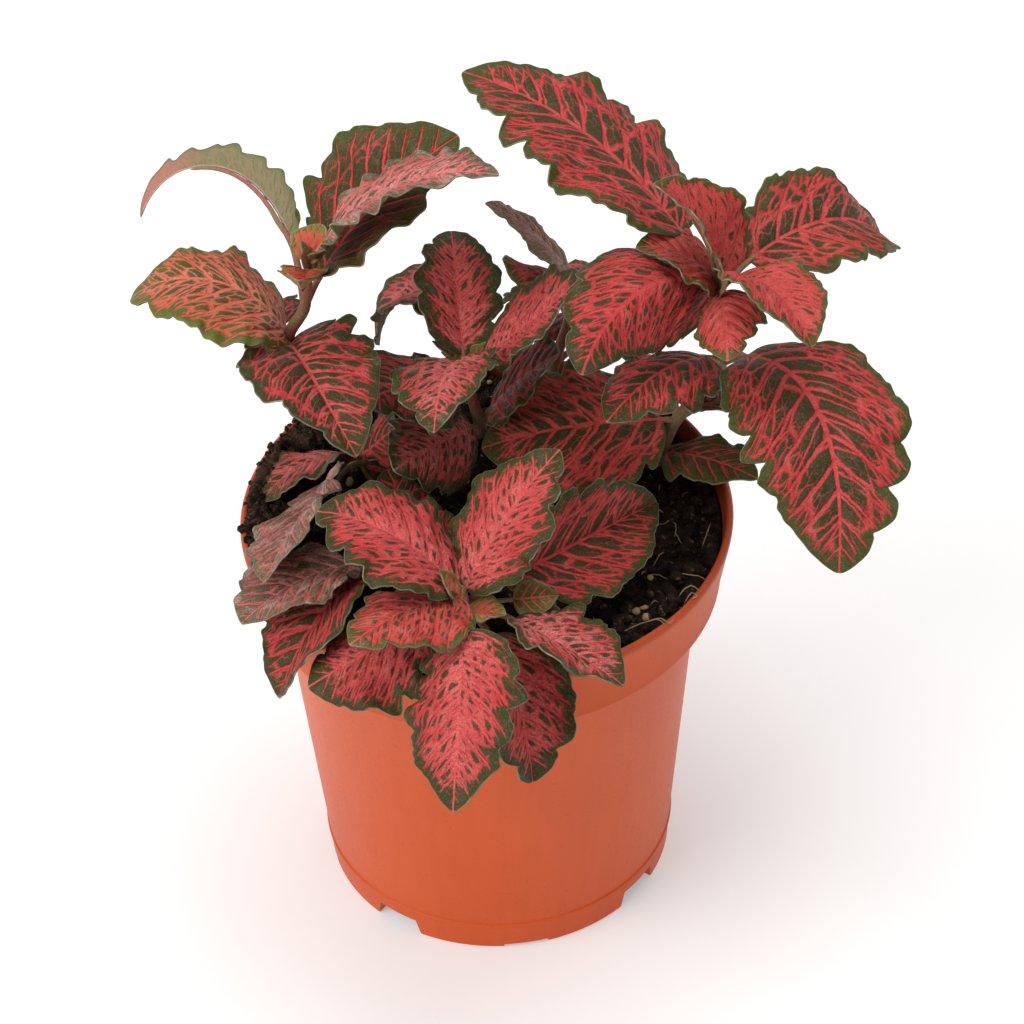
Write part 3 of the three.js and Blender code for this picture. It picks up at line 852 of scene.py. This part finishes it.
def add_blade(bm, row, root, seed):
    """One blade as a grid, with its marks for the material as attributes of its points."""
    length, wide = row[6], row[7]
    rows = max(16, round(length / ALONG_PITCH))
    columns = 2 * max(5, round(wide / 2 / ACROSS_PITCH))
    made, t, w = grid_uv(bm, rows, columns)
    u = t - 0.3 * np.sin(2 * np.pi * t) / (2 * np.pi)
    place, marks = blade_points(row, root, u, 2 * w - 1, seed)
    layers = {name: bm.verts.layers.float_vector[name] for name in LEAF_MARKS}
    look = LOOKS[row[-1]]
    for mark, numbers in zip(LEAF_MARKS[2:], (look[:3], look[3:6], look[6:])):
        marks[mark] = np.tile(numbers, (len(made), 1))
    for i, point in enumerate(made):
        point.co = Vector(place[i]) * MM
        for name, layer in layers.items():
            point[layer] = Vector(marks[name][i])


def add_stalk(bm, line, radii, around):
    """One round stem, stalk or fibre as a grid that is rolled up."""
    rows = max(6, len(line) * 2)
    made, u, v = grid_uv(bm, rows, around)
    for point, place in zip(made, stalk_points(line, radii, u, v)):
        point.co = Vector(place) * MM


LEAF_MARKS = ("leaf_place", "leaf_vein", "look_net", "look_tint", "look_edge")
print("points on a blade are", ALONG_PITCH, "by", ACROSS_PITCH, "mm apart")

# %% The lines of stems and stalks
STEM_RADII = (1.8, 1.05)
STALK_POINTS = 16
MIDRIB_REACH = 0.62  # part of the blade's length that the raised midrib runs under
MIDRIB_SINK = 0.62  # how far its line lies below the face, in millimetres


def stem_line(foot, nodes, per_span=6):
    """A smooth line from the root through a stem's nodes."""
    points = [Vector((foot[0], foot[1], SOIL_TOP + 2))] + [Vector(p) for p in nodes]
    line = [Vector((foot[0], foot[1], SOIL_TOP - ROOT_DEPTH))]
    for i in range(len(points) - 1):
        before = points[max(i - 1, 0)]
        after = points[min(i + 2, len(points) - 1)]
        start, end = points[i], points[i + 1]
        gap = (end - start).length
        lead = (end - before).normalized() * gap / 3
        tail = (after - start).normalized() * gap / 3
        a, b = start + lead, end - tail
        for t in (k / per_span for k in range(per_span)):
            curve = start * (1 - t) ** 3 + a * 3 * t * (1 - t) ** 2
            line.append(curve + b * 3 * t * t * (1 - t) + end * t**3)
    line.append(points[-1])
    return line


def stalk_line(row, root):
    """Line and radii of a leaf's stalk, which runs on under the blade as its raised midrib."""
    stalk, length = row[5:7]
    total = stalk + length
    s = np.linspace(0, (stalk + MIDRIB_REACH * length) / total, STALK_POINTS)
    u = np.clip((s * total - stalk) / length, 0, 1)
    line, _, face = leaf_frame(row, root, s, u)
    thick = 1.0 if length >= 20 else 0.7
    radii = thick * np.where(u > 0, 0.75 - 0.6 * u, 1.0 - 0.25 * s * total / max(stalk, 1))
    sunk = np.clip(u * 12, 0, 1) * (radii * 0.8 + MIDRIB_SINK)
    return line - face * sunk[:, None], radii


print("a stem narrows from", *STEM_RADII, "mm")

# %% Build each leafy stem
BLADE_THICKNESS = 0.36

for number, (name, shoot) in enumerate(SHOOTS.items()):
    blades, stems = bmesh.new(), bmesh.new()
    for mark in LEAF_MARKS:
        blades.verts.layers.float_vector.new(mark)
    line = stem_line(shoot["foot"], shoot["nodes"].values())
    add_stalk(stems, line, np.linspace(*STEM_RADII, len(line)), around=14)
    for index, row in enumerate(shoot["leaves"]):
        root = shoot["nodes"][row[0]]
        add_blade(blades, row, root, seed=1 + number * 1.37 + index * 0.73)
        add_stalk(stems, *stalk_line(row, root), around=8)
    for part in (blades, stems):
        bmesh.ops.remove_doubles(part, verts=part.verts, dist=WELD)
    side = name.removeprefix("shoot_")
    leaves = new_piece(f"leaves_{side}", blades, [LEAF_UPPER, LEAF_UNDER, LEAF_EDGE])
    wall = leaves.modifiers.new("thickness", "SOLIDIFY")
    wall.thickness = BLADE_THICKNESS * MM
    wall.offset = 0
    wall.material_offset = 1
    wall.material_offset_rim = 2
    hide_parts(name)
    stalks = new_piece(f"stems_{side}", stems, [STEM_SKIN])
    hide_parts(name)
    made = 4 * len(leaves.data.polygons) + 2 * len(stalks.data.polygons)
    print(name, "about", made, "triangles")

# %% [markdown]
# ## The pot
#
# A nursery pot is moulded in one go: a tapered wall, a deep band below the rim, and a foot with
# notches that let water out. Its profile is spun round the axis in fine steps. The notches are cut
# with a Boolean, and the channels that roof the taller ones are joined to the floor with another.

# %% The pot's profile and helpers for moulded shapes
POT_PROFILE = (
    (0, 0), (42.9, 0), (43.4, 0.5), (43.9, 8.1), (44.35, 8.35), (44.35, 8.9), (44.05, 9.2),
    (51.5, 88.2), (51.9, 88.9), (56.3, 89.0), (56.8, 89.6), (56.95, 90.6), (56.8, 91.2),
    (59.85, 106.9), (59.95, 107.9), (59.6, 108.6), (59.0, 108.95), (58.5, 108.9), (58.1, 108.4),
    (57.8, 106.5), (55.4, 91.0), (54.9, 90.5), (50.5, 90.5), (50.1, 90.0), (42.2, 2.4), (0, 2.2),
)
POT_STEPS = 144
TALL_NOTCHES = (52.5, 142.5, 232.5, 322.5)
LOW_NOTCHES = (7.5, 97.5, 187.5, 277.5)


def spun(profile, steps):
    """A bmesh of a profile turned once round the z axis, in metres."""
    bm = bmesh.new()
    points = [bm.verts.new((r * MM, 0, z * MM)) for r, z in profile]
    edges = [bm.edges.new(pair) for pair in zip(points, points[1:])]
    bmesh.ops.spin(
        bm, geom=points + edges, angle=2 * math.pi, steps=steps, axis=(0, 0, 1), use_merge=True
    )
    bmesh.ops.remove_doubles(bm, verts=bm.verts, dist=0.01 * MM)
    bmesh.ops.recalc_face_normals(bm, faces=bm.faces)
    return bm


def add_spoke(bm, turn, width, top_width, base, height, inner, outer):
    """A block that runs outwards from the axis, its section a trapezoid."""
    made = bmesh.ops.create_cube(bm, size=1)["verts"]
    for point in made:
        x, y, z = point.co
        wide = top_width if z > 0 else width
        point.co = (x * wide, -(inner + (0.5 - y) * (outer - inner)), height if z > 0 else base)
    bmesh.ops.rotate(bm, verts=made, matrix=Matrix.Rotation(math.radians(turn), 3, "Z"))
    bmesh.ops.scale(bm, verts=made, vec=(MM, MM, MM))


def boolean(piece, bm, operation):
    """Joins a bmesh of blocks to a piece or cuts it away, and keeps the result as its mesh."""
    bmesh.ops.recalc_face_normals(bm, faces=bm.faces)
    tool = put_mesh("tool", bm)
    cut = piece.modifiers.new("cut", "BOOLEAN")
    cut.object, cut.operation, cut.solver = tool, operation, "EXACT"
    graph = bpy.context.evaluated_depsgraph_get()
    result = bpy.data.meshes.new_from_object(piece.evaluated_get(graph))
    piece.modifiers.clear()
    piece.data = result
    bpy.data.objects.remove(tool)


print("pot profile:", len(POT_PROFILE), "points")

# %% [markdown]
# The plastic is terracotta orange, a little uneven where it flowed in the mould and cloudy in broad
# patches, with a few dark specks. The rim's top is coloured darker, and painted shade darkens the
# inner wall, which lies in the rim's shadow: it is found by its distance from the axis, as the
# wall tapers.

# %% The pot's plastic
CLAY = (0.56, 0.082, 0.015), (0.62, 0.094, 0.020)
FLOW_LINES = (0.49, 0.068, 0.013)
# a darker red for the rim's top
DARKER_RIM_TOP = (0.34, 0.055, 0.024)
SPECKS = (0.25, 0.06, 0.03)
# painted shade for the inner wall, which lies in the rim's shadow
INNER_WALL_SHADE = (0.10, 0.022, 0.010)
TAPER = 0.19  # how much the inner wall widens for each millimetre of height

plastic = Finish("pot_plastic", Roughness=0.42, Specular_IOR_Level=0.2)
where = plastic.point()
x, y, z = where.parts()
speckle = plastic.noise(where, 1.1, 2.0)
flow = plastic.noise(plastic.vector(x * 0.35, y * 0.35, z * 0.02), 1.0, 2.0)
radius = plastic.node("ShaderNodeVectorMath", {"operation": "LENGTH"}, plastic.vector(x, y, 0.0))
# the inner wall below the rim, where the painted shade goes
inner_wall = (radius - z * TAPER).step(38.2, 37.4) * z.step(95.0, 98.0)
clay = plastic.coats(
    plastic.blend(plastic.noise(where, 0.018, 3.0).step(0.3, 0.7), *CLAY),
    (flow.step(0.4, 0.75) * 0.25, FLOW_LINES),
    # the rim's top is coloured darker
    (z.step(105.5, 108.6) * 0.5, DARKER_RIM_TOP),
    (plastic.noise(where, 0.9, 0.0).step(0.79, 0.81) * 0.3, SPECKS),
    (inner_wall * 0.8, INNER_WALL_SHADE),
)
POT_PLASTIC = plastic.wear(
    Base_Color=clay,
    Roughness=0.36 + speckle * 0.14,
    Normal=plastic.bump(speckle * 0.5 + flow * 0.5, 0.0002, 0.5),
)
print("plastic:", len(plastic.tree.nodes), "nodes")

# %% Spin the pot
pot = new_piece("pot_moulding", spun(POT_PROFILE, POT_STEPS), [POT_PLASTIC])
roofs, notches = bmesh.new(), bmesh.new()
for turn in TALL_NOTCHES:
    add_spoke(roofs, turn, width=17, top_width=14, base=0.4, height=6.5, inner=32.9, outer=42.0)
    add_spoke(notches, turn, width=14, top_width=11, base=-1, height=5, inner=34.4, outer=60)
for turn in LOW_NOTCHES:
    add_spoke(notches, turn, width=12, top_width=11, base=-1, height=1.2, inner=41.4, outer=60)
boolean(pot, roofs, "UNION")
boolean(pot, notches, "DIFFERENCE")
pot.data.set_sharp_from_angle(angle=math.radians(35))
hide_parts("pot")
print("pot:", len(pot.data.polygons), "faces")

# %% [markdown]
# ## The soil
#
# Potting soil is dark crumbly peat with a few tan grains and fibres. On the left it was heaped
# against the rim, and there it is coloured a paler brown. A spun body with a noisy top carries
# the overall lumps, small jittered icospheres lie on it as crumbs, and thin bent strands are the
# fibres. All the draws are seeded, so the soil is the same each time.

# %% The lie of the soil
SOIL_RINGS = [(0, 2.5), (41.6, 2.5), (49.8, 90.8), (55.0, 90.8), (56.9, 103.0)]
SOIL_RINGS += [(r, SOIL_TOP) for r in np.arange(56.0, 0.0, -1.4)] + [(0, SOIL_TOP)]
SOIL_STEPS = 120
SOIL_EDGE = 57.0
HEAP_AT = 2.85  # heading of the heap's middle, in radians
HEAP_HEIGHT = 4.2
SWELL, LUMPS, GRIT = 0.8, 1.3, 0.45  # heights of broad, middling and fine unevenness


def soil_height(x, y):
    """Height of the soil's lumpy top at a point, in millimetres."""
    broad = 0.8 * (math.sin(0.29 * x + 1.3) * math.cos(0.23 * y) + 0.6 * math.sin(0.41 * y - 0.2 * x))
    middling = noise.fractal(Vector((x * 0.16, y * 0.16, 3.0)), 0.6, 2.1, 5)
    fine = noise.noise(Vector((x * 0.8, y * 0.8, 9.0)))
    towards_left = max(0.0, math.cos(math.atan2(y, x) - HEAP_AT)) ** 2
    heap = HEAP_HEIGHT * towards_left * min(1.0, max(0.0, (math.hypot(x, y) - 42) / 12))
    return SOIL_TOP + broad * SWELL + middling * LUMPS + fine * GRIT + heap


print("soil in the middle of the pot:", round(soil_height(0, 0), 1), "mm high")

# %% The soil's finish
PEAT_TONES = (0.007, 0.005, 0.004), (0.048, 0.028, 0.018)
PALE_DUST = (0.13, 0.080, 0.050)
PALE_BITS = (0.20, 0.13, 0.085)
# a paler brown for the left side of the soil
LEFT_PALE_BROWN = (0.15, 0.082, 0.050)

peat = Finish("peat", Roughness=0.95, Specular_IOR_Level=0.15)
where = peat.point()
clod = peat.noise(where, 0.25, 4.0, 0.65)
dust = peat.noise(where, 1.6, 4.0, 0.7)
bits = peat.noise(where, 0.55, 1.0).step(0.62, 0.7) * dust.step(0.4, 0.6)
# paler brown patches towards the left side of the soil
paler_left = where.parts()[0].step(-28.0, -52.0) * (clod * 0.5 + dust * 0.5).step(0.45, 0.62)
earth = peat.coats(
    peat.blend(clod.step(0.35, 0.7), *PEAT_TONES),
    (dust.step(0.55, 0.72) * 0.6, PALE_DUST),
    (bits, PALE_BITS),
    (paler_left * 0.6, LEFT_PALE_BROWN),
)
PEAT = peat.wear(Base_Color=earth, Normal=peat.bump(clod * 0.6 + dust * 0.7, 0.0015, 1.0))
print("peat:", len(peat.tree.nodes), "nodes")

# %% Make the soil's body
ground = spun(SOIL_RINGS, SOIL_STEPS)
for point in ground.verts:
    if point.co.z > 100 * MM:
        x, y = point.co.x / MM, point.co.y / MM
        fade = min(1.0, max(0.0, (SOIL_EDGE - math.hypot(x, y)) / 2))
        point.co.z = (SOIL_TOP + (soil_height(x, y) - SOIL_TOP) * fade) * MM
soil = new_piece("soil_body", ground, [PEAT])
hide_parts("soil")
print("soil:", len(soil.data.polygons), "faces")

# %% [markdown]
# Crumbs are icospheres of twenty faces, pushed out of round by noise. Many lie in the heap on the
# left, and some lumps have come to rest on the rim there.

# %% Crumbs on the soil and the rim
draw = random.Random(11)
SOIL_RADIUS = 55.0
HEAP_BAND = (46, 58.5)
RIM_BAND = (55.6, 59.4)
RIM_TOP = 108.7
RIM_LUMPS = 110


def add_crumb(bm, x, y, z, size, fineness=1):
    """A crumb of a random shape and turn around a point, all in millimetres."""
    made = bmesh.ops.create_icosphere(bm, subdivisions=fineness, radius=1)["verts"]
    spin = Matrix.Rotation(draw.uniform(0, 6.28), 3, (draw.random(), draw.random(), 1))
    stretch = Vector((draw.uniform(0.7, 1.3), draw.uniform(0.6, 1.1), draw.uniform(0.5, 0.9)))
    shift = draw.uniform(0, 50)
    for point in made:
        rough = 1 + 0.45 * noise.noise(point.co * 1.3 + Vector((shift, 0, 0)))
        shaped = spin @ Vector(c * k for c, k in zip(point.co, stretch)) * size * rough
        point.co = (Vector((x, y, z)) + shaped) * MM


def around_axis(angle, radius):
    return radius * math.cos(angle), radius * math.sin(angle)


def scatter(count, smallest, largest, lift, fineness=1, heap=0.0):
    """Crumbs all over the soil, or heaped towards the rim on the left."""
    bm = bmesh.new()
    for _ in range(count):
        if draw.random() < heap:
            angle = draw.gauss(HEAP_AT, 0.5)
            radius = draw.uniform(*HEAP_BAND)
        else:
            angle = draw.uniform(0, 6.283)
            radius = SOIL_RADIUS * math.sqrt(draw.random())
        size = smallest + (largest - smallest) * draw.random() ** 2.0
        radius = min(radius, (58.6 if heap > 0.3 else 56.0) - size)
        x, y = around_axis(angle, radius)
        add_crumb(bm, x, y, soil_height(x, y) + lift * size, size, fineness)
    return bm


crumb_mesh = scatter(2600, smallest=0.5, largest=2.6, lift=0.45, heap=0.4)
crumbs = new_piece("soil_crumbs", crumb_mesh, [PEAT])
rim_lumps = bmesh.new()
for _ in range(RIM_LUMPS):
    angle, radius = draw.gauss(HEAP_AT, 0.4), draw.uniform(*RIM_BAND)
    size = draw.uniform(0.4, 1.5)
    x, y = around_axis(angle, radius)
    add_crumb(rim_lumps, x, y, RIM_TOP + 0.3 * size, size)
new_piece("soil_rim_lumps", rim_lumps, [PEAT])
print("crumbs:", len(crumbs.data.polygons), "faces")

# %% [markdown]
# The tan grains are bits of bark, rounder and finer than the crumbs. The fibres are thin bent
# strands with three sides, and a few longer straws hang over the rim at the front right.

# %% Tan grains and fibres
TAN_TONES = (0.20, 0.13, 0.06), (0.52, 0.38, 0.20)

tan = Finish("tan_grain", Roughness=0.8, Specular_IOR_Level=0.3)
spot = tan.noise(tan.point(), 0.9, 3.0)
TAN = tan.wear(Base_Color=tan.blend(spot, *TAN_TONES), Normal=tan.bump(spot, 0.0004, 0.7))
grain_mesh = scatter(120, smallest=0.4, largest=1.6, lift=0.5, fineness=2, heap=0.15)
grains = new_piece("soil_grains", grain_mesh, [TAN])

# straws caught on the rim at the front right, as points in millimetres
RIM_STRAWS = (
    ((29.4, -41.9, 105.5), (35.2, -39.8, 107), (39.7, -40.6, 109.3), (41.2, -42.9, 109.4)),
    ((37.0, -38.0, 106), (40.2, -40.4, 109.4), (42.4, -42.6, 109.3), (43.5, -41.2, 109.8)),
    ((44.9, -30.7, 106.5), (46.4, -29.4, 108), (48.3, -29.5, 109.4), (50.6, -32.3, 109.3)),
    ((46.0, -33.0, 106), (48.0, -31.0, 108.4), (49.6, -33.2, 109.3), (47.8, -34.4, 109.2)),
    ((54.2, -6.0, 108), (52.8, -9.5, 106.6), (51.7, -12.3, 105.6)),
    ((44.0, -20.0, 105.5), (46.5, -23.0, 107), (50.5, -24.5, 107.5), (52.0, -27.5, 108.6)),
)
strands = bmesh.new()
for _ in range(100):
    x, y = around_axis(draw.uniform(0, 6.283), 52 * math.sqrt(draw.random()))
    heading, reach = draw.uniform(0, 6.283), draw.uniform(2, 6)
    curl = draw.uniform(-0.9, 0.9)
    line = []
    for k in range(7):
        dx, dy = around_axis(heading + curl * k / 6, reach * k / 6)
        px, py = x + dx, y + dy
        if math.hypot(px, py) > 54:
            break
        line.append((px, py, soil_height(px, py) + 0.8 + 0.5 * math.sin(k)))
    if len(line) > 3:
        add_stalk(strands, line, [0.12, 0.2, 0.16, 0.08], 3)
for line in RIM_STRAWS:
    add_stalk(strands, line, [0.1, 0.22, 0.18, 0.1], 3)
bmesh.ops.remove_doubles(strands, verts=strands.verts, dist=WELD)
fibres = new_piece("soil_fibres", strands, [TAN])
print("grains", len(grains.data.polygons), "fibres", len(fibres.data.polygons), "faces")

# %% Print the sizes and finish
size = {"cad": [list(p) for p in CAD_BOX], "visual": [list(p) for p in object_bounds()]}
print("size:", size)
